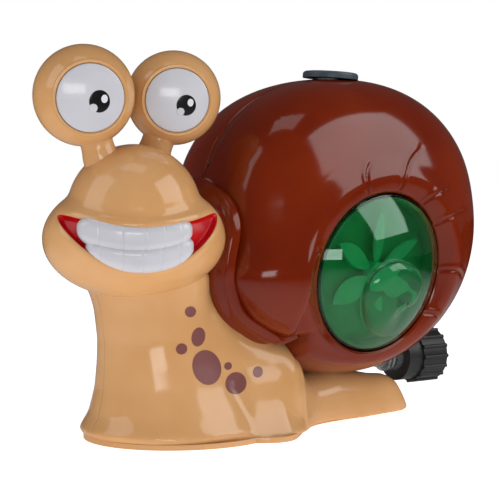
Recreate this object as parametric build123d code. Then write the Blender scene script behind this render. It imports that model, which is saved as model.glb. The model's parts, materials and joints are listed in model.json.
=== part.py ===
from build123d import *
import os
from math import atan2, cos, hypot, pi, radians, sin

# Garden hose sprinkler in the shape of a snail. It stands on z = 0 and heads along -Y,
# so the snail's left side is +X. All sizes are in millimetres.

# Overall sizes
shell_r = 92.5
shell_shoulder_r = 38.0
shell_width = 124.0
shell_y = 68.0
shell_z = 115.5
head_x = 12.0
head_y = -80.0
head_yaw = 67.0

# Walls and clearances
shell_wall = 2.6
body_wall = 2.5
head_wall = 2.5
gap = 0.4
seat_gap = 0.3
run_gap = 0.06

# Foot, neck and tail: height, centre along Y, half width, half depth of each neck section
neck_sections = (
    (-4.0, -42.0, 55.0, 60.0),
    (8.0, -42.0, 55.0, 60.0),
    (28.0, -50.0, 43.0, 49.0),
    (55.0, -55.0, 36.0, 41.0),
    (78.0, -59.0, 33.0, 35.0),
    (97.0, -62.0, 34.0, 34.0),
)
# Place along Y, half width and height of each tail section
tail_sections = (
    (-25.0, 52.0, 34.0),
    (10.0, 50.0, 34.0),
    (36.0, 27.0, 28.0),
    (70.0, 17.0, 24.0),
    (100.0, 13.0, 21.0),
    (124.0, 5.0, 10.0),
)
base_thick = 3.0
neck_cap_z = 90.0
neck_cap_thick = 2.5

# Head, in its own frame, which faces -Y before it is turned
cheek_half = (52.0, 42.0, 34.0)
cheek_z = 117.0
forehead_r = 38.0
forehead_z = 132.0
mouth_half = 44.0
mouth_corner_z = 131.0
mouth_top_z = 124.0
mouth_bottom_z = 100.0
teeth_half = 31.0
bite_z = 113.0
tooth_inset = 0.8
lining_thick = 2.0
lining_margin = 3.0

# Eyes: side, centre across, back and up in the head's frame, radius, stalk root across, gaze
right_eye = ("right", (-28.5, -4.0, 197.0), 28.4, -17.5, 4.0)
left_eye = ("left", (25.2, 15.5, 196.0), 27.0, 13.0, -3.0)
eye_wall = 2.4
white_share = 0.70
stalk_r = 9.6
stalk_root_z = 156.0
stalk_root_share = 0.8
stalk_depth = 7.0
gaze_drop = 6.0

# Side windows with their spinners
window_y = 65.0
window_z = 93.0
window_x = 52.0
window_droop = 9.4
window_turn = 3.7
dome_r = 47.5
dome_rise = 19.0
dome_wall = 2.0
flange_wall = 2.0
dome_skirt = 4.0
dish_depth = 12.0
dish_wall = 2.5
seat_wall = 3.0
spinner_axle_r = 2.5
spinner_hub_r = 6.5
spinner_hub_length = 7.0
hub_drop = 7.5
bush_wall = 2.0
hub_boss_depth = 12.0
blade_count = 6
blade_reach = 36.0
blade_width = 13.0
blade_thick = 1.6
blade_pitch = 25.0
jet_ring_r = 26.0
jet_r = 3.0
jet_bend = 4.0

# Hose inlet, along +Y at the rear
inlet_z = 34.0
nut_front = 120.0
nut_length = 30.0
nut_r = 16.6
nut_collar_r = 15.4
nut_collar_length = 11.0
rib_count = 16
rib_r = 1.3
hose_thread_r = 13.2
hose_thread_length = 18.0
nut_lip = 4.0
neck_r = 9.0
neck_length = 4.5
fitting_flange_r = 11.8
fitting_flange_thick = 3.0
washer_thick = 2.6
pipe_r = 6.5
pipe_bore_r = 4.5
pipe_ring_r = 8.6
pipe_bend_y = 104.0
pipe_end_y = 90.0
pipe_end_z = 55.0
pocket_gap = 3.0
pocket_front = 109.0

# Water path inside the shell
manifold_y = 88.0
manifold_z = 64.0
manifold_r = 11.0
manifold_height = 24.0
tube_r = 4.5
tube_bore_r = 3.0
riser_turn_z = 148.0

# Spray head on top
spray_y = 68.0
spray_z = 208.6
spray_lean = 4.0
spray_r = 17.0
spray_thick = 4.0
spray_holes = 8
stem_r = 5.0
stem_length = 22.0
seat_tube_r = 8.0
seat_length = 18.0
seat_flange_r = 12.0

# Fasteners
screw_r = 1.4
screw_head_r = 3.1
screw_head_thick = 2.2
screw_sink = 0.2
base_screw_tip = 14.0
boss_r = 5.6
clamp_length = 10.0
shell_boss_angles = (0, 60, 120, 180, 225, 315)
shell_boss_share = 0.77
body_boss_places = ((-58.0, 72.0), (-78.0, 22.0), (52.0, 12.0))
head_boss_x = 40.0
head_boss_z = 108.0
base_screw_places = ((34.0, -52.0), (26.0, 14.0))

os.makedirs("parts", exist_ok=True)


def save(name, shape):
    shape.label = name
    export_step(shape, "parts/" + name + ".step")


def rod(start, end, radius):
    """Round bar between two points."""
    start, end = Vector(*start), Vector(*end)
    axis = end - start
    place = Plane(origin=start, z_dir=axis)
    return place * extrude(Circle(radius), axis.length)


def pipe(points, bend, radius):
    """Round bar along straight runs joined by arcs."""
    path = FilletPolyline(*points, radius=bend)
    start = Plane(origin=path @ 0, z_dir=path % 0)
    return sweep(start * Circle(radius), path=path)


def ellipsoid(half, inset=0.0):
    return scale(Sphere(1.0), by=tuple(size - inset for size in half))


def one_side(shape, sign):
    """The half of a shape on one side of the middle plane."""
    reach = 500.0
    return shape & Pos(sign * reach / 2, 0, 0) * Box(reach, reach * 2, reach * 2)


# Outer forms

def shell_form(sign, inset=0.0):
    """One half of a flattened round whorl: tangent side and shoulder arcs turned about X."""
    radius = shell_r - inset
    half = shell_width / 2 - inset
    shoulder = shell_shoulder_r - inset
    drop = radius - shoulder
    side = (drop ** 2 + half ** 2 - shoulder ** 2) / (2 * (half - shoulder))
    reach = hypot(side - half, drop)
    join = ((side - half) / reach * side + half - side, drop / reach * side)
    side_angle = atan2(join[1], join[0] - half + side) / 2
    side_middle = (half - side + side * cos(side_angle), side * sin(side_angle))
    shoulder_angle = (atan2(join[1] - drop, join[0]) + pi / 2) / 2
    shoulder_middle = (shoulder * cos(shoulder_angle), drop + shoulder * sin(shoulder_angle))
    outline = [
        ThreePointArc((half, 0), side_middle, join),
        ThreePointArc(join, shoulder_middle, (0, radius)),
        Line((0, radius), (0, 0)),
        Line((0, 0), (half, 0)),
    ]
    facing = Rot(0, 0, 0 if sign > 0 else 180)
    return Pos(0, shell_y, shell_z) * facing * revolve(make_face(outline), Axis.X)


def neck_form(inset=0.0):
    sections = []
    for height, centre, half_x, half_y in neck_sections:
        sections.append(Pos(0, centre, height) * Ellipse(half_x - inset, half_y - inset))
    return loft(sections)


def tail_form(inset=0.0):
    sections = []
    for place, half_x, height in tail_sections:
        plane = Plane(origin=(0, place, 0), x_dir=(1, 0, 0), z_dir=(0, 1, 0))
        sections.append(plane * Ellipse(max(half_x - inset, 0.5), max(height - inset, 0.5)))
    return loft(sections)


def body_form(inset=0.0):
    return neck_form(inset) + tail_form(inset)


def head_form(inset=0.0):
    cheeks = Pos(0, 0, cheek_z) * ellipsoid(cheek_half, inset)
    return cheeks + Pos(0, 0, forehead_z) * Sphere(forehead_r - inset)


head_place = Pos(head_x, head_y, 0) * Rot(0, 0, head_yaw)


# Fasteners

def cross_boss(places, form):
    """Bosses that run across the middle plane, trimmed to the inside of a form."""
    bosses = [rod((-200, y, z), (200, y, z), boss_r) for y, z in places]
    return Compound(children=bosses) & form


def cross_holes(places):
    """Head well on the right, clearance hole, then pilot hole on the left."""
    tools = []
    for y, z in places:
        tools.append(rod((-200, y, z), (-clamp_length, y, z), screw_head_r + gap))
        tools.append(rod((-clamp_length - 1, y, z), (0, y, z), screw_r + gap))
        tools.append(rod((-1, y, z), (clamp_length + 2, y, z), screw_r + run_gap))
    return tools


def screw(start, end):
    """Pan head screw: the head's outer face is at start, the tip at end."""
    start, end = Vector(*start), Vector(*end)
    along = (end - start).normalized()
    head = rod(start, start + along * screw_head_thick, screw_head_r)
    drive = rod(start - along, start + along * 1.2, 0.9)
    return head - drive + rod(start + along, end, screw_r)


def cross_screws(places):
    screws = []
    for y, z in places:
        screws.append(screw((-clamp_length - screw_head_thick, y, z), (clamp_length, y, z)))
    return Compound(children=screws)


shell_boss_places = []
for angle in shell_boss_angles:
    boss_y = shell_y + shell_boss_share * shell_r * cos(radians(angle))
    boss_z = shell_z + shell_boss_share * shell_r * sin(radians(angle))
    shell_boss_places.append((boss_y, boss_z))


# Side windows: each has its own frame, with +Z out of the window

def window_frame(sign):
    turn = Rot(0, 0, sign * window_turn)
    droop = Rot(0, sign * (90 + window_droop), 0)
    upright = Rot(0, 0, 0 if sign > 0 else 180)
    return Pos(sign * window_x, window_y, window_z) * turn * droop * upright


def window_opening(sign, radius):
    return window_frame(sign) * Pos(0, 0, 10) * Cylinder(radius, 100)


def dome():
    ball_r = (dome_r ** 2 + dome_rise ** 2) / (2 * dome_rise)
    centre = Pos(0, 0, dome_rise - ball_r)
    cap = centre * Sphere(ball_r) - centre * Sphere(ball_r - dome_wall)
    cap = cap & Pos(0, 0, 50) * Cylinder(dome_r + 1, 100)
    skirt = Pos(0, 0, -dome_skirt / 2) * Cylinder(dome_r, dome_skirt + 0.02)
    skirt -= Pos(0, 0, -dome_skirt / 2) * Cylinder(dome_r - flange_wall, dome_skirt + 1)
    return cap + skirt


dish_r = dome_r - flange_wall - seat_gap
bush_r = spinner_axle_r + run_gap + bush_wall


def dish():
    cup = Pos(0, 0, -dish_depth / 2) * Cylinder(dish_r, dish_depth)
    cup -= Pos(0, 0, (dish_wall - dish_depth) / 2 + 0.5) * Cylinder(dish_r - 2, dish_depth - dish_wall + 1)
    boss_top = dish_wall - dish_depth
    boss = rod((0, 0, -dish_depth - hub_boss_depth), (0, 0, boss_top), bush_r + 2.5)
    bore = rod((0, 0, 2.5 - dish_depth - hub_boss_depth), (0, 0, 5), bush_r + 0.02)
    jet_hole = rod((jet_ring_r, 0, -50), (jet_ring_r, 0, 0), jet_r + 0.05)
    return cup + boss - bore - jet_hole


def bush():
    low = 3.0 - dish_depth - hub_boss_depth
    high = dish_wall - dish_depth
    return rod((0, 0, low), (0, 0, high), bush_r) - rod((0, 0, low - 1), (0, 0, 9), spinner_axle_r + run_gap)


def spinner_axle():
    return rod((0, 0, 3.5 - dish_depth - hub_boss_depth), (0, 0, 1.5), spinner_axle_r)


def leaf_spinner():
    """Hub with leaf blades, each pitched about its own arm."""
    root = spinner_hub_r - 1.5
    middle = (root + blade_reach) / 2
    hub_low = -hub_drop
    hub = rod((0, 0, hub_low), (0, 0, hub_low + spinner_hub_length), spinner_hub_r)
    edge = Spline((root, 0), (middle, blade_width / 2), (blade_reach, 0))
    other = Spline((root, 0), (middle, -blade_width / 2), (blade_reach, 0))
    leaf = extrude(make_face([edge, other]), blade_thick / 2, both=True)
    blade = Pos(0, 0, hub_low + spinner_hub_length / 2) * Rot(blade_pitch, 0, 0) * leaf
    wheel = hub
    for index in range(blade_count):
        wheel += Rot(0, 0, index * 360 / blade_count) * blade
    return wheel - rod((0, 0, -40), (0, 0, 40), spinner_axle_r + 0.02)


def spinner_cap():
    top = spinner_hub_length - hub_drop
    cap = rod((0, 0, top + 0.1), (0, 0, top + 4), spinner_axle_r + 2)
    return cap - rod((0, 0, -40), (0, 0, 1.6), spinner_axle_r + 0.02)


def jet_nozzle():
    low, high = -dish_depth - 4, -dish_depth + dish_wall - 0.2
    return rod((jet_ring_r, 0, low), (jet_ring_r, 0, high), jet_r) - rod((jet_ring_r, 0, low - 1), (jet_ring_r, 0, 0), 1.2)


def make_windows():
    for sign, side in ((1, "left"), (-1, "right")):
        place = window_frame(sign)
        save(side + "_dome", place * dome())
        save(side + "_dish", place * dish())
        save(side + "_bush", place * bush())
        save(side + "_spinner_axle", place * spinner_axle())
        save(side + "_leaf_spinner", place * leaf_spinner())
        save(side + "_spinner_cap", place * spinner_cap())
        save(side + "_jet_nozzle", place * jet_nozzle())


# Hose inlet

def on_inlet(y, radius, length):
    return rod((0, y, inlet_z), (0, y + length, inlet_z), radius)


flange_front = nut_front + nut_lip + 0.15
washer_front = flange_front + fitting_flange_thick + 0.1
thread_front = nut_front + nut_length - hose_thread_length
inlet_route = ((0, nut_front - neck_length, inlet_z), (0, pipe_bend_y, inlet_z), (0, pipe_end_y, pipe_end_z))


def inlet_fitting():
    """Clear tail piece: flange held by the nut, running neck, two rings and the bent pipe."""
    solid = pipe(inlet_route, 9, pipe_r)
    solid += on_inlet(nut_front - neck_length, neck_r, neck_length + nut_lip + 0.2)
    solid += on_inlet(flange_front, fitting_flange_r, fitting_flange_thick)
    for index in range(2):
        solid += on_inlet(nut_front - neck_length - 3 - 3.2 * index, pipe_ring_r, 1.4)
    solid -= pipe(inlet_route, 9, pipe_bore_r)
    return solid - on_inlet(nut_front - neck_length - 1, pipe_bore_r, 40)


def hose_nut():
    solid = on_inlet(nut_front, nut_collar_r, nut_collar_length)
    solid += on_inlet(nut_front + nut_collar_length, nut_r, nut_length - nut_collar_length)
    for index in range(rib_count):
        angle = radians(360 / rib_count * index)
        x, z = nut_r * cos(angle), inlet_z + nut_r * sin(angle)
        solid += rod((x, nut_front + nut_collar_length, z), (x, nut_front + nut_length, z), rib_r)
    solid -= on_inlet(nut_front - 1, neck_r + run_gap, nut_length)
    solid -= on_inlet(nut_front + nut_lip, fitting_flange_r + gap, nut_length)
    return solid - on_inlet(thread_front, hose_thread_r, nut_length)


def hose_washer():
    return on_inlet(washer_front, fitting_flange_r, washer_thick) - on_inlet(washer_front - 1, pipe_bore_r + 1, 9)


# Water path

def manifold():
    low = manifold_z - manifold_height / 2
    block = rod((0, manifold_y, low), (0, manifold_y, low + manifold_height), manifold_r)
    block -= pipe(inlet_route, 9, pipe_r + run_gap)
    block -= rod((0, manifold_y, low + 4), (0, manifold_y, low + manifold_height + 1), tube_r + run_gap)
    return block - rod((-40, manifold_y, manifold_z), (40, manifold_y, manifold_z), jet_r + run_gap)


def jet_tube(sign):
    """Tube from the manifold's side to the back of the jet, square to both."""
    route = [(sign * (manifold_r - 3), manifold_y, manifold_z), (sign * (manifold_r + 5), manifold_y, manifold_z)]
    for depth in (13.0, 4.1):
        place = window_frame(sign) * Pos(jet_ring_r, 0, -dish_depth - depth)
        route.append(tuple(place.position))
    return pipe(route, jet_bend, jet_r) - pipe(route, jet_bend, jet_r - 1.5)


spray_axis = Vector(0, sin(radians(spray_lean)), cos(radians(spray_lean)))
spray_seat_point = Vector(0, spray_y, spray_z)


def on_spray(low, high, radius):
    return rod(spray_seat_point + spray_axis * low, spray_seat_point + spray_axis * high, radius)


def riser_tube():
    low = manifold_z - manifold_height / 2 + 5
    top = spray_seat_point - spray_axis * (seat_length + 2.6)
    knee = spray_seat_point - spray_axis * (seat_length + 16)
    route = ((0, manifold_y, low), (0, manifold_y, riser_turn_z), (0, knee.Y, knee.Z), (0, top.Y, top.Z))
    return pipe(route, 8, tube_r) - pipe(route, 8, tube_bore_r)


def spray_seat():
    """Flanged guide in the top of the shell that the spray head turns in."""
    base = -seat_length
    seat = on_spray(base, -0.3, seat_tube_r) + on_spray(base, base + 2, seat_flange_r)
    return seat - on_spray(base - 1, 1, stem_r + run_gap)


def spray_disc():
    """Rounded cap with a ring of jets and a hollow stem."""
    cap = on_spray(0, spray_thick, spray_r)
    cap = fillet(cap.edges().filter_by(GeomType.CIRCLE).sort_by(Axis.Z)[-1], 1.8)
    cap += on_spray(0.1 - seat_length, 0.5, stem_r)
    across = Plane(origin=spray_seat_point, z_dir=spray_axis, x_dir=(1, 0, 0))
    for index in range(spray_holes):
        turn = Rot(0, 0, index * 360 / spray_holes)
        cap -= across * turn * Pos(11.5, 0, 1) * Cylinder(0.9, 20)
    return cap - on_spray(-stem_length - 9, 2, stem_r - 2)


def riser_cuff():
    """Sleeve that couples the riser tube to the seat's lower face."""
    low = -seat_length - 8
    return on_spray(low, -seat_length - 0.2, tube_r + 2.5) - on_spray(low - 1, 0, tube_r + run_gap)


# Shell

def make_shell():
    """Two halves with window seats, screw bosses and a pocket around the hose nut."""
    pocket_r = nut_r + rib_r + pocket_gap
    pocket_wall = on_inlet(pocket_front - shell_wall, pocket_r + shell_wall, 90)
    inlet_hole = pipe(inlet_route, 9, pipe_r + gap)
    spray_hole = on_spray(-60, 20, seat_tube_r + 0.2)
    for sign, side in ((1, "left"), (-1, "right")):
        form = shell_form(sign)
        half = form - shell_form(sign, shell_wall) + (form & pocket_wall)
        half += cross_boss(shell_boss_places, shell_form(sign, 1.0))
        seat = window_frame(sign) * Pos(0, 0, -3) * Cylinder(dome_r + seat_gap + seat_wall, 12)
        half += seat & shell_form(sign, 0.2)
        half -= window_opening(sign, dome_r + seat_gap)
        half = half - inlet_hole - spray_hole - on_inlet(pocket_front, pocket_r, 90)
        for tool in cross_holes(shell_boss_places):
            half -= tool
        save("shell_" + side + "_half", half)
    save("shell_screws", cross_screws(shell_boss_places))


def make_lip():
    """Collar around the mouth of the shell, leaning forward at the top."""
    plane = Plane(origin=(0, -20, 95), x_dir=(1, 0, 0), z_dir=(0, 0.955, 0.296))
    ring = plane * extrude(Ellipse(53, 60), 27) - plane * extrude(Ellipse(46, 53), 27)
    ring = ring - shell_form(1, -seat_gap) - shell_form(-1, -seat_gap) - body_form(-gap)
    save("shell_lip", ring.solids().sort_by(SortBy.VOLUME)[-1])


# Body

def make_body():
    room = Pos(0, 0, 250) * Box(600, 600, 500)
    hollow = (body_form() & room) - body_form(body_wall)
    core = body_form(1.0)
    bosses = cross_boss(body_boss_places, core)
    posts = []
    for x, y in base_screw_places:
        for sign in (1, -1):
            posts.append(rod((sign * x, y, base_thick + seat_gap), (sign * x, y, 60), boss_r - 1))
    posts = Compound(children=posts) & core
    for sign, side in ((1, "left"), (-1, "right")):
        half = one_side(hollow + bosses + posts, sign) - shell_form(sign, -gap)
        for tool in cross_holes(body_boss_places):
            half -= tool
        for x, y in base_screw_places:
            half -= rod((sign * x, y, 0), (sign * x, y, base_screw_tip + 2), screw_r + run_gap)
        save("body_" + side + "_half", half)
    save("body_screws", cross_screws(body_boss_places))


def make_neck_cap():
    """Plate that closes the neck under the head."""
    slab = Pos(0, 0, neck_cap_z) * Box(600, 600, neck_cap_thick)
    plate = neck_form(body_wall + seat_gap) & slab
    save("neck_cap", plate - shell_form(1, -gap) - shell_form(-1, -gap))


def make_base():
    slab = Pos(0, 0, base_thick / 2) * Box(600, 600, base_thick)
    plate = body_form(body_wall + seat_gap) & slab
    screws = []
    for x, y in base_screw_places:
        for sign in (1, -1):
            plate -= rod((sign * x, y, -1), (sign * x, y, screw_sink + screw_head_thick), screw_head_r + gap)
            plate -= rod((sign * x, y, -1), (sign * x, y, 9), screw_r + gap)
            screws.append(screw((sign * x, y, screw_sink), (sign * x, y, base_screw_tip)))
    save("base_plate", plate)
    save("base_screws", Compound(children=screws))


# Head

def mouth_prism(margin, low, high):
    """Smile-shaped block in front of the face, between two heights at the middle."""
    half = mouth_half + margin
    corner = mouth_corner_z
    top = ThreePointArc((-half, corner), (0, high), (half, corner))
    bottom = ThreePointArc((-half, corner), (0, low), (half, corner))
    return Plane.XZ * extrude(make_face([top, bottom]), 80)


def face_skin(outer, inner):
    cheeks = Pos(0, 0, cheek_z) * ellipsoid(cheek_half, outer)
    return cheeks - Pos(0, 0, cheek_z) * ellipsoid(cheek_half, inner)


def stalk_line(eye, depth):
    side, centre, radius, root, gaze = eye
    start = Vector(root, centre[1] * stalk_root_share, stalk_root_z)
    centre = Vector(*centre)
    along = (centre - start).normalized()
    return start, centre - along * (radius - depth)


def make_head():
    hollow = head_form() - head_form(head_wall)
    places = ((head_boss_x, head_boss_z), (-head_boss_x, head_boss_z))
    bosses = [rod((x, -60, z), (x, 60, z), boss_r) for x, z in places]
    whole = hollow + (Compound(children=bosses) & head_form(1.0))
    for eye in (right_eye, left_eye):
        start, end = stalk_line(eye, stalk_depth)
        whole -= rod(start, end, stalk_r + 0.15)
    neck = head_place.inverse() * (neck_form(-gap))
    front = Pos(0, -150, 120) * Box(300, 300, 300)
    face = (whole & front) - neck - mouth_prism(0, mouth_bottom_z, mouth_top_z)
    back = (whole - front) - neck
    screws = []
    for x, z in places:
        face -= rod((x, -clamp_length - 2, z), (x, 1, z), screw_r + run_gap)
        back -= rod((x, -1, z), (x, clamp_length, z), screw_r + gap)
        back -= rod((x, clamp_length, z), (x, 200, z), screw_head_r + gap)
        screws.append(screw((x, clamp_length + screw_head_thick, z), (x, -clamp_length, z)))
    save("head_face", head_place * face)
    save("head_back", head_place * back)
    save("head_screws", head_place * Compound(children=screws))


def make_mouth():
    front = Pos(0, -150, 120) * Box(300, 290, 300)
    lining_in = head_wall + 0.4
    lining = face_skin(lining_in, lining_in + lining_thick)
    lining &= mouth_prism(lining_margin, mouth_bottom_z - 3, mouth_top_z + 3) & front
    save("mouth_lining", head_place * lining)
    row = face_skin(tooth_inset, lining_in - 0.1) & (Pos(0, -100, 120) * Box(teeth_half * 2, 190, 90))
    upper = row & mouth_prism(-0.5, bite_z + 0.3, mouth_top_z - 0.5)
    lower = row & mouth_prism(-0.5, mouth_bottom_z + 0.5, bite_z - 0.3)
    save("upper_teeth", head_place * upper)
    save("lower_teeth", head_place * lower)


def make_eye(eye):
    side, centre, radius, root, gaze = eye
    start, end = stalk_line(eye, stalk_depth)
    look = Pos(*centre) * Rot(0, 0, gaze) * Rot(90 + gaze_drop, 0, 0)
    white_r = radius * white_share
    ball = Pos(*centre) * (Sphere(radius) - Sphere(radius - eye_wall))
    ball -= look * Pos(0, 0, radius) * Cylinder(white_r + seat_gap, 2 * radius)
    ball -= rod(start, end + (end - start).normalized() * 5, stalk_r + 0.15)
    white = Sphere(radius - 0.8) - Sphere(radius - 0.8 - eye_wall)
    white &= Pos(0, 0, radius) * Cylinder(white_r, 2 * radius)
    save(side + "_eye_ball", head_place * ball)
    save(side + "_eye_white", head_place * look * white)
    save(side + "_eye_stalk", head_place * rod(start, end, stalk_r))


make_windows()
save("inlet_fitting", inlet_fitting())
save("hose_nut", hose_nut())
save("hose_washer", hose_washer())
save("manifold", manifold())
save("left_jet_tube", jet_tube(1))
save("right_jet_tube", jet_tube(-1))
save("riser_tube", riser_tube())
save("riser_cuff", riser_cuff())
save("spray_seat", spray_seat())
save("spray_disc", spray_disc())
make_shell()
make_lip()
make_body()
make_base()
make_neck_cap()
make_head()
make_mouth()
make_eye(right_eye)
make_eye(left_eye)
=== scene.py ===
import json
import math
import bmesh
import bpy
from mathutils import Matrix, Vector


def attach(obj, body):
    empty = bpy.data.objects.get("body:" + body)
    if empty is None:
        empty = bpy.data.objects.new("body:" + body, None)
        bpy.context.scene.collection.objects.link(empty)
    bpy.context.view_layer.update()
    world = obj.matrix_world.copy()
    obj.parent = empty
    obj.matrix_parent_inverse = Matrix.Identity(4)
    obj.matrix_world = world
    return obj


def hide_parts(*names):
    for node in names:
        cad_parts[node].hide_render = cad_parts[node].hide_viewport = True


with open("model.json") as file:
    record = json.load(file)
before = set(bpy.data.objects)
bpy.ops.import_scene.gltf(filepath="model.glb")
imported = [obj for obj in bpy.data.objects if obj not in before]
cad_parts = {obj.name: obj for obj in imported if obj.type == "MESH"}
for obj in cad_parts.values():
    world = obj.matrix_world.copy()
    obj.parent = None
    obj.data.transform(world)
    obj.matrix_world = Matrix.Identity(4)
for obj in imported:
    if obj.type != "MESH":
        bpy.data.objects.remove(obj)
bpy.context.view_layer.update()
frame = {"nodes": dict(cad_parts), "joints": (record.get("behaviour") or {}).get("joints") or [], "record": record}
mm = 0.001
scene = bpy.context.scene


# ---- small helpers ----

def smoothStep(low, high, value):
    t = min(max((value - low) / (high - low), 0.0), 1.0)
    return t * t * (3 - 2 * t)


def mix(a, b, t):
    return a + (b - a) * t


def interpolate(points, position):
    # smooth curve through the points, position counted in points
    last = len(points) - 1
    index = min(int(position), last - 1)
    t = position - index
    p0 = points[max(index - 1, 0)]
    p1, p2 = points[index], points[index + 1]
    p3 = points[min(index + 2, last)]
    value = []
    for a, b, c, d in zip(p0, p1, p2, p3):
        bend = 2 * a - 5 * b + 4 * c - d
        twist = 3 * b - a - 3 * c + d
        value.append((2 * b + (c - a) * t + bend * t ** 2 + twist * t ** 3) / 2)
    return value


def toObject(bm, name, material):
    # the bmesh is in millimetres
    bmesh.ops.scale(bm, vec=(mm, mm, mm), verts=bm.verts)
    bmesh.ops.recalc_face_normals(bm, faces=bm.faces)
    for face in bm.faces:
        face.smooth = True
    mesh = bpy.data.meshes.new(name)
    bm.to_mesh(mesh)
    bm.free()
    piece = bpy.data.objects.new(name, mesh)
    scene.collection.objects.link(piece)
    mesh.materials.append(material)
    return piece


def applied(piece):
    # swaps the piece's mesh for the one its modifiers make
    graph = bpy.context.evaluated_depsgraph_get()
    mesh = bpy.data.meshes.new_from_object(piece.evaluated_get(graph))
    piece.modifiers.clear()
    piece.data = mesh
    return piece


def remeshed(piece, voxel, rounds):
    wrap = piece.modifiers.new("wrap", "REMESH")
    wrap.mode = "VOXEL"
    wrap.voxel_size = voxel * mm
    wrap.use_smooth_shade = True
    relax = piece.modifiers.new("relax", "SMOOTH")
    relax.factor = 0.5
    relax.iterations = rounds
    return applied(piece)


def walled(piece, thickness):
    wall = piece.modifiers.new("wall", "SOLIDIFY")
    wall.thickness = thickness * mm
    wall.offset = -1
    wall.use_quality_normals = True
    return applied(piece)


def ringAt(bm, place, halfWide, halfDeep, count=64):
    # one ring of a loft, made as a circle in its own plane
    shape = place @ Matrix.Diagonal((halfWide, halfDeep, 1, 1))
    return bmesh.ops.create_circle(bm, segments=count, radius=1, matrix=shape)["verts"]


def joinRings(bm, rings):
    # bridges each ring to the next and closes both ends
    for lower, upper in zip(rings, rings[1:]):
        edges = []
        for ring in (lower, upper):
            members = set(ring)
            edges += [e for e in bm.edges if e.verts[0] in members and e.verts[1] in members]
        bmesh.ops.bridge_loops(bm, edges=list(set(edges)))
    bm.faces.new(rings[0])
    bm.faces.new(rings[-1])


def halved(draft, away):
    # a copy cut through the origin, without the side that a direction points to
    half = draft.copy()
    geom = half.verts[:] + half.edges[:] + half.faces[:]
    cut = bmesh.ops.bisect_plane(half, geom=geom, plane_co=(0, 0, 0), plane_no=away, clear_outer=True)
    rim = [e for e in cut["geom_cut"] if isinstance(e, bmesh.types.BMEdge)]
    bmesh.ops.holes_fill(half, edges=rim)
    return half


def gridSheet(bm, columns, rows, place, wrap=False):
    # a grid whose points are placed by a function of u and v, both 0 to 1
    made = bmesh.ops.create_grid(bm, x_segments=columns, y_segments=rows, size=0.5)["verts"]
    for vert in made:
        u, v = vert.co.x + 0.5, vert.co.y + 0.5
        vert.co = place(u, v)
    if wrap:
        bmesh.ops.remove_doubles(bm, verts=made, dist=0.001)


def turnedProfile(bm, outline, place, steps=96):
    # outline of (radius, height) turned about the place's own Z axis
    verts = [bm.verts.new((radius, 0, height)) for radius, height in outline]
    edges = [bm.edges.new(pair) for pair in zip(verts, verts[1:])]
    bmesh.ops.spin(bm, geom=verts + edges, cent=(0, 0, 0), axis=(0, 0, 1), angle=2 * math.pi,
                   steps=steps, use_merge=True)
    bmesh.ops.remove_doubles(bm, verts=bm.verts, dist=0.001)
    bmesh.ops.transform(bm, matrix=place, verts=bm.verts)


def axes(origin, along, upHint=(0, 0, 1)):
    # place whose Z runs along a direction and whose Y is as near to the hint as it can be
    z = Vector(along).normalized()
    x = Vector(upHint).cross(z).normalized()
    y = z.cross(x)
    return Matrix.Translation(origin) @ Matrix((x, y, z)).transposed().to_4x4()


def arcPoints(centre, radius, start, end, count):
    points = []
    for index in range(count + 1):
        angle = math.radians(mix(start, end, index / count))
        points.append((centre[0] + radius * math.cos(angle), centre[1] + radius * math.sin(angle)))
    return points


# ---- materials ----

def toLinear(hexColour):
    channels = [int(hexColour[i:i + 2], 16) / 255 for i in (0, 2, 4)]
    linear = [c / 12.92 if c <= 0.04045 else ((c + 0.055) / 1.055) ** 2.4 for c in channels]
    return (*linear, 1.0)


def addNode(tree, kind, values=None, links=None, **settings):
    node = tree.nodes.new(kind)
    for key, value in settings.items():
        setattr(node, key, value)
    for key, value in (values or {}).items():
        node.inputs[key].default_value = value
    for key, source in (links or {}).items():
        tree.links.new(source, node.inputs[key])
    return node


def newMaterial(name, values):
    # a Principled surface with its uniform values on its own sockets
    material = bpy.data.materials.new(name)
    material.use_nodes = True
    tree = material.node_tree
    shader = tree.nodes["Principled BSDF"]
    for key, value in values.items():
        shader.inputs[key].default_value = value
    return material, tree, shader


def mottled(tree, shader, dark, light, patch, grain, depth):
    # colour drifts between two tones over patches; the skin has a fine moulded ripple
    where = addNode(tree, "ShaderNodeTexCoord").outputs["Object"]
    drift = addNode(tree, "ShaderNodeTexNoise", {"Scale": 1 / (patch * mm), "Detail": 3.0},
                    {"Vector": where})
    ramp = addNode(tree, "ShaderNodeValToRGB", links={"Fac": drift.outputs["Fac"]})
    ramp.color_ramp.elements[0].position = 0.3
    ramp.color_ramp.elements[0].color = toLinear(dark)
    ramp.color_ramp.elements[1].position = 0.7
    ramp.color_ramp.elements[1].color = toLinear(light)
    tree.links.new(ramp.outputs["Color"], shader.inputs["Base Color"])
    ripple = addNode(tree, "ShaderNodeTexNoise", {"Scale": 1 / (grain * mm), "Detail": 2.0},
                     {"Vector": where})
    bump = addNode(tree, "ShaderNodeBump", {"Strength": 0.25, "Distance": depth * mm},
                   {"Height": ripple.outputs["Fac"]})
    tree.links.new(bump.outputs["Normal"], shader.inputs["Normal"])


def flowing(tree, shader, patch, detail, strength):
    # the faint waviness that molten plastic leaves in a clear moulding
    where = addNode(tree, "ShaderNodeTexCoord").outputs["Object"]
    flow = addNode(tree, "ShaderNodeTexNoise", {"Scale": 1 / (patch * mm), "Detail": detail},
                   {"Vector": where})
    bump = addNode(tree, "ShaderNodeBump", {"Strength": strength, "Distance": 0.05 * mm},
                   {"Height": flow.outputs["Fac"]})
    tree.links.new(bump.outputs["Normal"], shader.inputs["Normal"])


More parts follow.
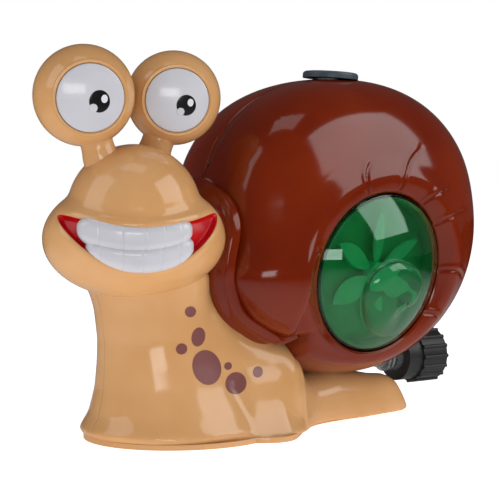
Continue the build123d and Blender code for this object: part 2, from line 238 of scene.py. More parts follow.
def tanSkin():
    # ABS moulded and lacquered: warm biscuit colour with a deep even gloss
    material, tree, shader = newMaterial("lacqueredTanAbs", {
        "Roughness": 0.14, "IOR": 1.5, "Coat Weight": 0.15, "Coat Roughness": 0.04})
    mottled(tree, shader, "C9955F", "D3A16E", 40, 9, 0.05)
    return material


def brownShell():
    # ABS moulded in a polished tool: dark red-brown with mirror-like window reflections
    material, tree, shader = newMaterial("polishedBrownAbs", {
        "Roughness": 0.12, "IOR": 1.47, "Coat Weight": 0.1, "Coat Roughness": 0.03})
    mottled(tree, shader, "661903", "752305", 60, 14, 0.05)
    return material


def greenWindow():
    # clear styrene tinted green, polished so that it shows the spinner behind it
    material, tree, shader = newMaterial("clearGreenStyrene", {
        "Base Color": toLinear("86EDBA"), "Roughness": 0.02, "IOR": 1.45, "Transmission Weight": 1.0,
        "Coat Weight": 0.3, "Coat Roughness": 0.02})
    flowing(tree, shader, 12, 1.0, 0.1)
    return material


def greenLeaf():
    # milky pale green styrene, which the window in front of it tints
    material, tree, shader = newMaterial("milkyGreenStyrene", {
        "Roughness": 0.2, "IOR": 1.5, "Transmission Weight": 0.15, "Subsurface Weight": 0.3,
        "Subsurface Scale": 0.003})
    mottled(tree, shader, "A6F2D0", "C2FAE2", 15, 3, 0.02)
    return material


def glossyWhite():
    # white ABS, polished: cool white with a soft highlight
    material, tree, shader = newMaterial("glossyWhiteAbs", {
        "Roughness": 0.2, "IOR": 1.5, "Coat Weight": 0.4, "Coat Roughness": 0.05})
    mottled(tree, shader, "BEBEC5", "C8C8CE", 30, 8, 0.03)
    return material


def glossyRed():
    # red enamel on the mouth's floor, laid on a little unevenly
    material, tree, shader = newMaterial("redEnamel", {
        "Roughness": 0.25, "IOR": 1.42})
    mottled(tree, shader, "B40610", "C80A14", 10, 2.5, 0.05)
    return material


def printInk(name, colour):
    # pad-printed ink: flat and a touch duller than the lacquer under it
    material, tree, shader = newMaterial(name, {"Roughness": 0.3, "IOR": 1.5, "Coat Weight": 0.3})
    mottled(tree, shader, colour, colour, 12, 1.5, 0.01)
    return material


def blackNylon():
    # black nylon straight from a spark-eroded tool: satin with a fine grain
    material, tree, shader = newMaterial("blackNylon", {"Roughness": 0.42, "IOR": 1.53})
    mottled(tree, shader, "1B1B1D", "242426", 8, 0.9, 0.06)
    return material


def greyPlate():
    # slate-grey polypropylene: satin and finely grained
    material, tree, shader = newMaterial("slatePolypropylene", {"Roughness": 0.38, "IOR": 1.49})
    mottled(tree, shader, "3F4A52", "4B575F", 10, 0.8, 0.05)
    return material


def clearPipe():
    # clear acrylic pipe: bright edges, a hint of grey
    material, tree, shader = newMaterial("clearAcrylic", {
        "Base Color": toLinear("DDE6E8"), "Roughness": 0.05, "IOR": 1.49, "Transmission Weight": 0.9})
    flowing(tree, shader, 5, 2.0, 0.15)
    return material


def milkyDish():
    # milky green polypropylene dish behind the window: satin
    material, tree, shader = newMaterial("milkyPolypropylene", {"Roughness": 0.35, "IOR": 1.49})
    mottled(tree, shader, "6DB48E", "84C8A2", 16, 4, 0.04)
    return material


def naturalAcetal():
    # unpainted acetal of the inner works: off-white, waxy
    material, tree, shader = newMaterial("naturalAcetal", {"Roughness": 0.4, "IOR": 1.48})
    mottled(tree, shader, "D9D7CE", "E4E2DA", 12, 1.2, 0.03)
    return material


def zincSteel():
    # zinc-plated steel: pale, finely brushed by the rolling
    material, tree, shader = newMaterial("zincPlatedSteel", {"Metallic": 1.0, "Roughness": 0.32})
    mottled(tree, shader, "B9BCC0", "CDD0D4", 4, 0.4, 0.02)
    return material


def softRubber():
    # moulded nitrile: dead black with a powdery surface
    material, tree, shader = newMaterial("nitrileRubber", {"Roughness": 0.75, "IOR": 1.5})
    mottled(tree, shader, "202022", "2A2A2C", 5, 0.6, 0.08)
    return material


tan, brown, green, leaf = tanSkin(), brownShell(), greenWindow(), greenLeaf()
white, red, nylon, slate = glossyWhite(), glossyRed(), blackNylon(), greyPlate()
acrylic, acetal, steel, rubber = clearPipe(), naturalAcetal(), zincSteel(), softRubber()
dishMilk = milkyDish()
spotInk = printInk("brownSpotInk", "7C4846")
pupilInk = printInk("blackPupilInk", "0C0C0E")
glintInk = printInk("whiteGlintInk", "DADADF")
print("materials made")

slotMaterials = {
    "tan_shell": tan, "brown_shell": brown, "green_window": green, "green_spinner": leaf,
    "dish_plastic": dishMilk, "white_plastic": white, "red_plastic": red, "black_plastic": nylon,
    "grey_plastic": slate, "clear_plastic": acrylic, "inner_plastic": acetal, "hose_vinyl": acetal,
    "washer_rubber": rubber, "steel": steel}
for part in frame["record"]["subparts"]:
    node = frame["nodes"][part["node"]]
    node.data.materials.clear()
    node.data.materials.append(slotMaterials[part["material_slot"]])


# ---- side windows: where they are and which way they face ----

joints = {joint["name"]: joint for joint in frame["joints"]}


def windowPlace(side):
    # the window's own frame: its middle, with Z out along the spinner's axis
    joint = joints[side + "_spinner_spin"]
    return axes(Vector(joint["pos_m"]) / mm, joint["axis"])


# ---- shell ----

shell = {
    "centreY": 68, "centreZ": 118.5, "halfLength": 97, "halfHeight": 90, "halfWidth": 62,
    # how far the outline departs from an ellipse: swollen in front, squarer at the top
    "frontSwell": 0.10, "topSquare": 0.25,
    # how square the cross-section is: everywhere, more so in front, most so low in front
    "square": 2.5, "frontSquare": 0.7, "lowSquare": 1.0,
    "wall": 2.4, "seam": 0.15,
    # the hole for the window, its rim above the window's plane, and the slope that leads up to it
    "holeRadius": 47.8, "rimAbove": 0.9, "rimRound": 1.2, "slopeWide": 17.0,
    "ridgeHigh": 1.4, "ridgeWide": 24,
    # the step where the last whorl laps over: its place along Y and how far it leans back over
    # a span of heights, how high and round it is, and the heights between which it dies away
    "stepY": 4.0, "stepLean": 14.0, "stepSpan": (64, 114), "stepHigh": 5.0, "stepRound": 8.0,
    "stepFade": (126, 98),
    # the corner where the lip meets the seam, which is eased
    "corner": (0, -27, 147), "cornerReach": 24, "cornerRounds": 24,
    # the mouth's edge on the left, from the seam down and back
    "lip": [(4, -29.5, 145.5), (24, -29.2, 138.2), (37, -30.4, 124), (37.5, -34.0, 103),
            (36.5, -33.5, 90), (36, -27, 74), (37, -14.4, 64), (39, -1, 57.8), (43, 11, 59.5)],
    # growth lines, each from its outer end to its inner one
    "creases": [((53, 159), (50, 141)), ((95, 167), (74, 143)), ((119, 143), (90, 130)),
                ((136, 128), (99, 116)), ((139, 86), (108, 91)), ((127, 57), (98, 66)),
                ((11, 112), (17, 109))],
    "creaseBend": 3.4, "creaseDeep": 1.3, "creaseWide": 0.8,
    # the soft swelling beside each line
    "creaseSwell": 0.6, "swellAway": 2.2, "swellWide": 1.3,
}


def whorlShare(y, z):
    # 0 at the middle of the shell's side view, 1 on its outline
    a = (y - shell["centreY"]) / shell["halfLength"]
    b = (z - shell["centreZ"]) / shell["halfHeight"]
    if a < 0:
        a /= 1 + shell["frontSwell"] * smoothStep(0.0, -0.35, b)
    power = 2.0 + shell["topSquare"] * smoothStep(-0.1, 0.5, b)
    return (abs(a) ** power + abs(b) ** power) ** (1 / power)


def whorlWidth(y, z):
    share = min(whorlShare(y, z), 1.0)
    front = smoothStep(0.0, -0.8, (y - shell["centreY"]) / shell["halfLength"])
    low = smoothStep(0.2, -0.4, (z - shell["centreZ"]) / shell["halfHeight"])
    power = shell["square"] + front * (shell["frontSquare"] + shell["lowSquare"] * low)
    return shell["halfWidth"] * (1 - share ** power) ** (1 / power)


def outlineReach(y0, z0, dy, dz):
    # how far a ray runs before it leaves the outline, found by halving
    low, high = 10.0, 220.0
    for step in range(30):
        reach = (low + high) / 2
        if whorlShare(y0 + dy * reach, z0 + dz * reach) > 1:
            high = reach
        else:
            low = reach
    return low


def creaseDepth(y, z):
    # growth lines: narrow bent grooves that fade at both ends
    depth = 0.0
    for (y0, z0), (y1, z1) in shell["creases"]:
        length = math.hypot(y1 - y0, z1 - z0)
        t = ((y - y0) * (y1 - y0) + (z - z0) * (z1 - z0)) / length ** 2
        if not -0.1 < t < 1.15:
            continue
        bend = shell["creaseBend"] * math.sin(math.pi * t)
        away = ((y - y0) * (z1 - z0) - (z - z0) * (y1 - y0)) / length - bend
        fade = smoothStep(-0.08, 0.15, t) * smoothStep(1.15, 1.0, t)
        groove = shell["creaseDeep"] * math.exp(-(away / shell["creaseWide"]) ** 2)
        beside = (away - shell["swellAway"]) / shell["swellWide"]
        depth += fade * (groove - shell["creaseSwell"] * math.exp(-beside ** 2))
    return depth


def quarterRound(depth, width):
    # 0 at a crease, rising steeply and then rolling level over a width
    return math.sqrt(1 - (1 - min(max(depth / width, 0.0), 1.0)) ** 2)


def tongueRise(y, z):
    # the last whorl laps over the window's surround: a step that dies away upwards
    edge = shell["stepY"] + shell["stepLean"] * smoothStep(*shell["stepSpan"], z)
    rise = quarterRound(edge - y, shell["stepRound"]) * smoothStep(*shell["stepFade"], z)
    return shell["stepHigh"] * rise


def lipAngle(point, centre):
    return math.degrees(math.atan2(point[2] - centre.z, point[1] - centre.y)) % 360


def shellHalf(side, sign):
    place = windowPlace(side)
    centre = place.translation
    normal = place.to_3x3().col[2].copy()
    # the half's front edge follows the lip, but starts on the seam
    edge = [(shell["seam"], -29.6, 147), (12, -29.5, 143)] + shell["lip"][1:]
    lip = [Vector(interpolate(edge, i / 8)) for i in range(8 * (len(edge) - 1) + 1)]
    angles = [lipAngle(p, centre) for p in lip]

    def boundary(angle):
        # where a spoke from the window's middle ends: on the lip or on the seam
        dy, dz = math.cos(math.radians(angle)), math.sin(math.radians(angle))
        reach = outlineReach(centre.y, centre.z, dy, dz)
        rim = Vector((shell["seam"], centre.y + dy * reach, centre.z + dz * reach))
        if angle < angles[0]:
            return rim.lerp(lip[0], smoothStep(angles[0] - 7, angles[0], angle))
        if angle > angles[-1]:
            return rim.lerp(lip[-1], smoothStep(angles[-1] + 11, angles[-1], angle))
        for i in range(len(angles) - 1):
            if angles[i + 1] >= angle:
                t = (angle - angles[i]) / max(angles[i + 1] - angles[i], 1e-6)
                return lip[i].lerp(lip[i + 1], t)
        return lip[-1]

    spokes = {}

    def point(u, v):
        angle = round(u * 360, 4) % 360
        if angle not in spokes:
            end = boundary(angle)
            dy, dz = math.cos(math.radians(angle)), math.sin(math.radians(angle))
            reach = math.hypot(end.y - centre.y, end.z - centre.z)
            miss = (whorlWidth(end.y, end.z) ** 4 + end.x ** 4) ** 0.25 - end.x
            spokes[angle] = (dy, dz, reach, end, miss)
        dy, dz, reach, end, miss = spokes[angle]
        share = math.sin(v * math.pi / 2)
        hole = shell["holeRadius"]
        radius = mix(hole, reach, share)
        y, z = centre.y + dy * radius, centre.z + dz * radius
        away = radius - hole
        # the window's own plane, which the hole's edge follows
        plane = abs(centre.x) - (normal.y * (y - centre.y) + normal.z * (z - centre.z)) / abs(normal.x)
        body = (whorlWidth(y, z) ** 4 + (end.x * share ** 4) ** 4) ** 0.25 - miss * share ** 8
        body += (tongueRise(y, z) * smoothStep(0.0, 3.0, away)
                 * quarterRound(reach - radius - 3.0, shell["stepRound"]))
        near = 1 - smoothStep(0.0, shell["slopeWide"], away)
        x = mix(body, plane + shell["rimAbove"], near ** 1.3)
        x += shell["ridgeHigh"] * math.sin(math.pi * min(away / shell["ridgeWide"], 1.0)) ** 2
        x -= creaseDepth(y, z) * smoothStep(0.0, 2.0, away) * smoothStep(0.0, 10.0, reach - radius)
        x -= shell["rimRound"] * smoothStep(1.5, 0.0, away)
        return Vector((sign * max(x, shell["seam"]), y, z))

    bm = bmesh.new()
    gridSheet(bm, 384, 88, point, wrap=True)
    # the spokes bunch together where the lip meets the seam, so that corner is eased
    corner = Vector(shell["corner"])
    bunched = [v for v in bm.verts
               if (v.co - corner).length < shell["cornerReach"] and not v.is_boundary]
    for step in range(shell["cornerRounds"]):
        bmesh.ops.smooth_vert(bm, verts=bunched, factor=0.5,
                              use_axis_x=True, use_axis_y=True, use_axis_z=True)
    piece = toObject(bm, "shell" + side.capitalize() + "Half", brown)
    probe = max(piece.data.polygons, key=lambda p: sign * p.center.x)
    if probe.normal.x * sign < 0:
        piece.data.flip_normals()
    walled(piece, shell["wall"])
    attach(piece, "toy")
    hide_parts("shell_" + side + "_half")


# band across the lip, half its thickness, and how much the bead and the inner roll add to that
lipBand = {"halfWidth": 8.2, "thick": 3.4, "inward": 3.0, "bead": 1.5, "roll": 0.5,
           # where it leans to, how little it leans up or down, its size at the two ends
           "aimY": -62, "aimZ": 94, "lean": 0.35, "endSize": 0.55, "steps": 10}


def shellLip():
    # the thickened mouth of the shell: an outer bead, then a band that leans in to the neck
    left = [Vector(p) for p in shell["lip"]]
    right = [Vector((-p.x, p.y, p.z)) for p in left]
    path = list(reversed(left)) + right
    steps = lipBand["steps"]
    count = steps * (len(path) - 1)
    last = len(path) - 1.0001
    bm = bmesh.new()
    rings = []
    for i in range(count + 1):
        here = Vector(interpolate(path, min(i / steps, last)))
        ahead = Vector(interpolate(path, min((i + 0.5) / steps, last)))
        behind = Vector(interpolate(path, max((i - 0.5) / steps, 0)))
        along = (ahead - behind).normalized()
        inward = Vector((-here.x, lipBand["aimY"] - here.y, (lipBand["aimZ"] - here.z) * lipBand["lean"]))
        inward = (inward - along * inward.dot(along)).normalized()
        face = along.cross(inward)
        end = min(i, count - i) / steps
        size = mix(lipBand["endSize"], 1.0, smoothStep(0.0, 1.2, end))
        place = Matrix.Translation(here) @ Matrix((inward, face, along)).transposed().to_4x4()
        ring = ringAt(bm, Matrix.Identity(4), 1, 1, 36)
        for vert in ring:
            across, out = vert.co.x, vert.co.y
            bead = lipBand["bead"] * math.exp(-((across + 0.55) / 0.22) ** 2)
            roll = lipBand["roll"] * math.exp(-((across - 0.45) / 0.35) ** 2)
            thick = lipBand["thick"] + bead + roll
            wide = across * lipBand["halfWidth"] + lipBand["inward"]
            vert.co = place @ Vector((wide * size, out * thick * size, 0))
        rings.append(ring)
    joinRings(bm, rings)
    piece = toObject(bm, "shellLip", brown)
    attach(piece, "toy")
    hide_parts("shell_lip")


shellHalf("left", 1)
shellHalf("right", -1)
shellLip()
print("shell made")


# ---- side domes ----

dome = {"radius": 47.5, "rise": 19.0, "wall": 2.0, "skirt": 4.0,
        "whorlAt": (2.0, -12.0), "whorlHeight": 5.4, "edge": 8.0,
        # the curl at the coil's middle: reach, share of the coil's height, and the crown over it
        "hook": 9.0, "hookShare": 0.7, "crown": 1.4,
        # whorl's reach by direction, counterclockwise from the curl at lower right
        "reach": [(-49, 6), (-20, 12), (4, 15.5), (41, 20), (85, 22.5), (110, 26), (141, 28.5),
                  (167, 27.5), (202, 25), (244, 24.5), (287, 26), (311, 25)]}


def whorlHeight(u, w):
    # height of the coil above the dome, at a point in the window's plane
    du, dw = u - dome["whorlAt"][0], w - dome["whorlAt"][1]
    distance = math.hypot(du, dw)
    angle = math.degrees(math.atan2(dw, du))
    table = dome["reach"]
    if angle < table[0][0]:
        angle += 360
    position = 0.0
    for index in range(len(table) - 1):
        start, end = table[index][0], table[index + 1][0]
        if start <= angle <= end:
            position = index + (angle - start) / (end - start)
    reach = interpolate([row[1:] for row in table], position)[0]
    turn = quarterRound(reach - distance, dome["edge"])
    # the outer turn sinks into the dome before it comes round to the curl
    turn *= smoothStep(305, 205, angle)
    curl = dome["hookShare"] * quarterRound(dome["hook"] - distance, dome["edge"])
    return dome["whorlHeight"] * max(turn, curl) + dome["crown"] * math.exp(-(distance / 7) ** 2)


def sideDome(side):
    place = windowPlace(side)
    ball = (dome["radius"] ** 2 + dome["rise"] ** 2) / (2 * dome["rise"])
    top = dome["rise"] - ball
    mirror = 1 if side == "left" else -1

    def cap(radius, turn, inset, detail):
        u, w = radius * math.cos(turn), radius * math.sin(turn)
        height = top + math.sqrt((ball - inset) ** 2 - min(radius, ball - inset) ** 2)
        if detail:
            height += whorlHeight(u * mirror, w) * smoothStep(dome["radius"], dome["radius"] - 6, radius)
        return place @ Vector((u, w, height))

    bm = bmesh.new()
    reach = dome["radius"]
    inner = reach - dome["wall"]
    gridSheet(bm, 384, 130, lambda u, v: cap(reach * max(v, 0.0001), u * 2 * math.pi, 0, True), wrap=True)
    gridSheet(bm, 192, 40, lambda u, v: cap(inner * max(v, 0.0001), u * 2 * math.pi, dome["wall"], False),
              wrap=True)

    def skirtWall(radius, low, high):
        def point(u, v):
            turn = u * 2 * math.pi
            return place @ Vector((radius * math.cos(turn), radius * math.sin(turn), mix(low, high, v)))
        return point

    innerEdge = top + math.sqrt((ball - dome["wall"]) ** 2 - inner ** 2)
    gridSheet(bm, 192, 3, skirtWall(reach, -dome["skirt"], 0), wrap=True)
    gridSheet(bm, 192, 3, skirtWall(inner, -dome["skirt"], innerEdge), wrap=True)
    gridSheet(bm, 192, 1, lambda u, v: place @ Vector((mix(inner, reach, v) * math.cos(u * 2 * math.pi),
              mix(inner, reach, v) * math.sin(u * 2 * math.pi), -dome["skirt"])), wrap=True)
    bmesh.ops.remove_doubles(bm, verts=bm.verts, dist=0.02)
    piece = toObject(bm, side + "Dome", green)
    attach(piece, "toy")
    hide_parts(side + "_dome")


sideDome("left")
sideDome("right")
print("domes made")


# ---- body ----

body = {
    # height, centre along Y, half width, half depth
    "neck": [(0.2, -43, 50, 56), (5, -44, 52, 59), (16, -46, 46, 51), (30, -49, 40, 45),
             (45, -52, 36, 41), (58, -54, 33.5, 39), (75, -58, 33, 37), (84, -60.5, 34, 37),
             (91, -63, 36.5, 38.5), (97, -66, 39, 40), (102, -66, 24, 24)],
    # place along Y, half width, height
    "tail": [(-60, 40, 30), (-40, 44, 42), (-20, 52, 50), (0, 55, 52), (14, 50, 47), (28, 35, 38),
             (42, 24, 31), (60, 22, 33), (80, 19, 29), (98, 16, 25), (109, 14, 24), (116, 12.5, 21),
             (119.5, 11.5, 15), (122.5, 10, 9.5), (125.5, 7, 5)],
    # place along Y, half width and height of the shoulder that fills the mouth of the shell
    "shoulder": [(-66, 28, 98), (-50, 33, 98), (-36, 35, 94), (-24, 36, 78), (-12, 38, 69),
                 (0, 41.5, 62), (11, 45, 58), (22, 40, 48)],
    # how square the sections are: 1 is an ellipse, less is squarer
    "tailPower": 0.8, "shoulderPower": 0.55,
    # share taken off above the skirt, lift of the foot's rim and length of one of its lobes
    "waist": 0.16, "footLift": 1.6, "lobe": 52,
    "ground": 0.2, "voxel": 1.6, "rounds": 14,
}


def crossRing(bm, y, wide, high):
    # an upright ring across the body, at a place along Y
    place = Matrix.Translation((0, y, 0)) @ Matrix.Rotation(math.pi / 2, 4, "X")
    return ringAt(bm, place, wide, high, 96)


def signedPower(value, power):
    return math.copysign(abs(value) ** power, value)


def makeBody():
    bm = bmesh.new()
    rings = []
    for height, centre, wide, deep in body["neck"]:
        rings.append(ringAt(bm, Matrix.Translation((0, centre, height)), wide, deep, 96))
    joinRings(bm, rings)
    rings = []
    for y, wide, high in body["tail"]:
        ring = crossRing(bm, y, wide, high)
        for vert in ring:
            vert.co.x = wide * signedPower(vert.co.x / wide, body["tailPower"])
            vert.co.z = high * signedPower(vert.co.z / high, body["tailPower"])
            # flat underneath, flaring to a skirt at the ground
            share = min(max(vert.co.z, 0) / high * 1.15, 1.0)
            vert.co.x *= 1 - body["waist"] * math.sin(math.pi * share) * smoothStep(20, 45, wide)
            vert.co.z = max(vert.co.z, body["ground"])
        rings.append(ring)
    joinRings(bm, rings)
    rings = []
    for y, wide, high in body["shoulder"]:
        ring = crossRing(bm, y, 1, 1)
        for vert in ring:
            # squarer than an ellipse, so that it stays full up to the lip
            turn = math.atan2(vert.co.z, vert.co.x)
            vert.co.x = wide * signedPower(math.cos(turn), body["shoulderPower"])
            vert.co.z = max(high * signedPower(math.sin(turn), body["shoulderPower"]), body["ground"])
        rings.append(ring)
    joinRings(bm, rings)
    piece = toObject(bm, "bodyDraft", tan)
    remeshed(piece, body["voxel"], body["rounds"])
    draft = bmesh.new()
    draft.from_mesh(piece.data)
    for vert in draft.verts:
        x, y, z = vert.co / mm
        # the foot's rim lifts a little between its lobes
        wave = 0.5 - 0.5 * math.cos((y + 20) / body["lobe"] * 2 * math.pi)
        lift = body["footLift"] * wave * smoothStep(16, 0, z)
        vert.co.z += lift * mm * smoothStep(10, 26, abs(x) + max(-60 - y, 0))
    bpy.data.objects.remove(piece)
    halves = []
    for side, sign in (("left", 1), ("right", -1)):
        half = halved(draft, (-sign, 0, 0))
        bmesh.ops.scale(half, vec=(1 / mm,) * 3, verts=half.verts)
        halfPiece = toObject(half, "body" + side.capitalize() + "Half", tan)
        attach(halfPiece, "toy")
        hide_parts("body_" + side + "_half")
        halves.append(halfPiece)
    draft.free()
    return halves


bodyHalves = makeBody()
print("body made")


# ---- head, in its own frame, which faces -Y before it is turned ----

head = {
    "at": (12, -80), "yaw": 67, "cheeks": (52, 42, 34), "cheekZ": 117, "forehead": 38, "foreheadZ": 132,
    "voxel": 0.8, "rounds": 70, "mouthHalf": 46.8, "cornerSoft": 2.2, "mouthDepth": 7.0,
    "mouthMiddle": 114.0, "rimHigh": 0.9, "rimWide": 2.2,
}
headPlace = Matrix.Translation((*head["at"], 0)) @ Matrix.Rotation(math.radians(head["yaw"]), 4, "Z")


# height at the middle, rise to the side, where the rise is reached, power
upperLip, lowerLip = (124.8, 6.8, 42, 2), (102.4, 22.5, 43, 2.3)


def lipHeight(lip, x):
    middle, rise, reach, power = lip
    return middle + rise * (abs(x) / reach) ** power


def lipAbove(x):
    return lipHeight(upperLip, x)


def lipBelow(x):
    return lipHeight(lowerLip, x)


def mouthInset(x, z):
    # how far a point is inside the smile's outline, negative outside it
    rise, reach, power = lowerLip[1:]
    slope = rise * power / reach * (abs(x) / reach) ** (power - 1)
    below = (z - lipBelow(x)) / math.sqrt(1 + slope ** 2)
    # a soft minimum, so that the corners come out round
    sides = (lipAbove(x) - z, below, (head["mouthHalf"] - abs(x)) * 0.9)
    soft = head["cornerSoft"]
    return -soft * math.log(sum(math.exp(-side / soft) for side in sides))


def faceDepth(x, z):
    # place along Y of the cheeks' surface, as if there were no mouth
    a, b, c = head["cheeks"]
    left = 1 - (x / a) ** 2 - ((z - head["cheekZ"]) / c) ** 2
    return -b * math.sqrt(max(left, 0.02))


def mouthSink(inset):
    # how deep the mouth's floor lies behind the skin
    return head["mouthDepth"] * smoothStep(-0.9, 1.9, inset)


def makeHead():
    bm = bmesh.new()
    a, b, c = head["cheeks"]
    cheeks = Matrix.Translation((0, 0, head["cheekZ"])) @ Matrix.Diagonal((a, b, c, 1))
    bmesh.ops.create_uvsphere(bm, u_segments=96, v_segments=48, radius=1, matrix=cheeks)
    brow = Matrix.Translation((0, 0, head["foreheadZ"]))
    bmesh.ops.create_uvsphere(bm, u_segments=96, v_segments=48, radius=head["forehead"], matrix=brow)
    piece = toObject(bm, "headDraft", tan)
    remeshed(piece, head["voxel"], head["rounds"])
    draft = bmesh.new()
    draft.from_mesh(piece.data)
    bpy.data.objects.remove(piece)
    bmesh.ops.scale(draft, vec=(1 / mm,) * 3, verts=draft.verts)
    draft.normal_update()
    for vert in draft.verts:
        x, y, z = vert.co
        inset = mouthInset(x, z) if y < -8 else -99
        if inset > -9:
            skin = mix(y, faceDepth(x, z), smoothStep(-7.0, -1.0, inset))
            rim = head["rimHigh"] * math.exp(-((inset + 3.0) / head["rimWide"]) ** 2)
            vert.co.y = skin + mouthSink(inset) - rim
    for name, node, sign in (("headFace", "head_face", 1), ("headBack", "head_back", -1)):
        half = halved(draft, (0, sign, 0))
        bmesh.ops.transform(half, matrix=headPlace, verts=half.verts)
        halfPiece = toObject(half, name, tan)
        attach(halfPiece, "toy")
        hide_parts(node)
    draft.free()


def mouthLining():
    # red floor and walls of the mouth, a hair in front of the skin
    middle = head["mouthMiddle"]

    def reach(turn):
        low, high = 0.0, 60.0
        for step in range(24):
            far = (low + high) / 2
            if mouthInset(far * math.cos(turn), middle + far * math.sin(turn)) > -0.35:
                low = far
            else:
                high = far
        return low

    reaches = {}

    def point(u, v):
        turn = round(u * 2 * math.pi, 5)
        if turn not in reaches:
            reaches[turn] = reach(turn)
        far = reaches[turn] * (1 - (1 - max(v, 0.001)) ** 2)
        x, z = far * math.cos(turn), middle + far * math.sin(turn)
        return headPlace @ Vector((x, faceDepth(x, z) + mouthSink(mouthInset(x, z)) - 0.35, z))

    bm = bmesh.new()
    gridSheet(bm, 320, 48, point, wrap=True)
    piece = toObject(bm, "mouthLining", red)
    if piece.data.polygons[0].normal.x < 0:
        piece.data.flip_normals()
    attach(piece, "toy")
    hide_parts("mouth_lining")


makeHead()
mouthLining()
print("head made")

# each row's middle and half length; inset behind the cheeks; roundness of the edges and ends
teeth = {"upper": (-4.0, 29.4), "lower": (-1.4, 27.6), "inset": 2.6, "thick": 2.4, "round": 3.6,
         "endRound": 6.5, "endSqueeze": 0.45, "groove": 0.32, "grooveWide": 0.5,
         "upperGaps": (-24, -11.6, 0.3, 10.8, 20), "lowerGaps": (-23, -11.6, -1, 9, 19)}


def biteLine(x):
    # height of the line where the two rows meet
    return 112.6 + 0.0065 * (x + 3.0) ** 2


def toothRow(name, node, low, high, span, gaps):
    middle, half = span

    def point(u, v):
        # outline first, with round ends, then the crown of the row
        x = middle + mix(-half, half, u)
        end = 1 - min(max(half - abs(x - middle), 0.0) / teeth["endRound"], 1.0)
        bottom, top = low(x), high(x)
        squeeze = (1 - math.sqrt(1 - end ** 2)) * teeth["endSqueeze"]
        bottom, top = mix(bottom, top, squeeze), mix(top, bottom, squeeze)
        z = mix(bottom, top, v)
        edge = max(min(z - bottom, top - z, half - abs(x - middle)), 0.0)
        roundOff = teeth["round"] * (1 - math.sqrt(1 - (1 - min(edge / teeth["round"], 1.0)) ** 2))
        grooves = sum(teeth["groove"] * math.exp(-((x - gap) / teeth["grooveWide"]) ** 2) for gap in gaps)
        y = faceDepth(x * 0.96, mix(z, head["mouthMiddle"], 0.5)) + teeth["inset"] + roundOff + grooves
        return headPlace @ Vector((x, y, z))

    bm = bmesh.new()
    gridSheet(bm, 180, 36, point)
    piece = toObject(bm, name, white)
    if piece.data.polygons[len(piece.data.polygons) // 2].normal.x < 0:
        piece.data.flip_normals()
    walled(piece, teeth["thick"])
    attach(piece, "toy")
    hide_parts(node)


toothRow("upperTeeth", "upper_teeth", biteLine, lambda x: lipAbove(x) + 0.6,
         teeth["upper"], teeth["upperGaps"])
toothRow("lowerTeeth", "lower_teeth", lambda x: lipBelow(x) - 0.5, lambda x: biteLine(x) + 0.6,
         teeth["lower"], teeth["lowerGaps"])
print("teeth made")


# ---- eyes ----

# centre, radius, the stalk's root along X, turn of the gaze, and each print's place and radius
eyes = {
    "right": {"at": (-28.5, -4.0, 197.0), "radius": 28.4, "root": -17.5, "gaze": 4.0,
              "pupil": (4.5, -1.7, 5.9), "glint": (7.2, -0.3, 1.9), "notch": (1.0, -5.4, 2.5)},
    "left": {"at": (25.2, 15.5, 196.0), "radius": 27.0, "root": 10.0, "gaze": -3.0,
             "pupil": (4.8, -2.6, 5.6), "glint": (7.2, -1.1, 1.8), "notch": (1.6, -6.2, 2.3)},
}
eyeShape = {"discShare": 0.665, "step": 1.4, "crown": 3.2, "rim": 1.5, "drop": 5.0,
            "stalk": 9.2, "rootShare": 0.8, "rootZ": 156}


def discHeight(size, distance):
    # the white's gently crowned face, above the ball's centre
    wide = size["radius"] * eyeShape["discShare"]
    rimHeight = math.sqrt(size["radius"] ** 2 - wide ** 2) - eyeShape["step"]
    return rimHeight + eyeShape["crown"] * (1 - (distance / wide) ** 2)


